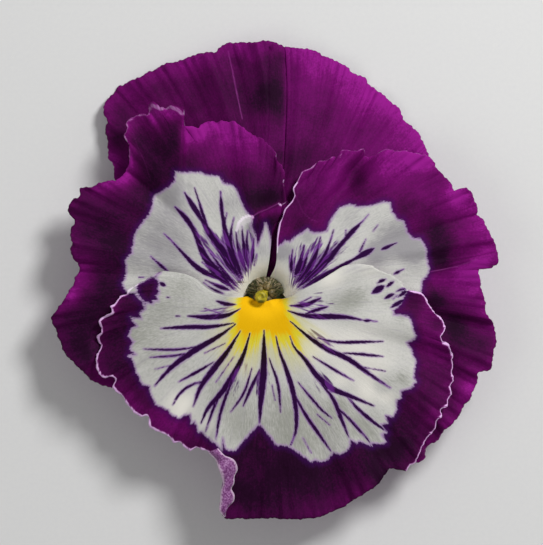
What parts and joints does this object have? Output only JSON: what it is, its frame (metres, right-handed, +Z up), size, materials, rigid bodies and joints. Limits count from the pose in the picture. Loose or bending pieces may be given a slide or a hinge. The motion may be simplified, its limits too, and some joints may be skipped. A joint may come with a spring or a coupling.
{
  "type": "pansy flower",
  "caption": "Single pansy bloom lying face up: broad ruffled velvety petals round a small throat, green sepals and a short hooked stalk behind.",
  "frame": {"origin": "centre of the bounding box, on the surface that the bloom lies on", "axes": "+Z up, the way the face looks; -Y towards the lower petal and along the stalk; +X to the right of the face as it is looked at"},
  "size_m": [0.076, 0.0822, 0.0132],
  "materials": {
    "upper_petals": "velvety matte, deep purple",
    "side_petals": "velvety matte, purple with a pale centre",
    "lower_petal": "velvety matte, purple with a pale centre and a yellow throat",
    "sepals": "matte leaf green",
    "stalk": "soft satin green",
    "pistil": "moist satin yellow-green",
    "anthers": "matte dusty orange-brown"
  },
  "bodies": {
    "root": {"upper_petal_left": "upper_petals", "upper_petal_right": "upper_petals", "lateral_petal_left": "side_petals", "lateral_petal_right": "side_petals", "lower_petal": "lower_petal", "sepal_1": "sepals", "sepal_2": "sepals", "sepal_3": "sepals", "sepal_4": "sepals", "sepal_5": "sepals", "stem": "stalk", "pistil": "pistil", "stamens": "anthers"}
  },
  "joints": []
}
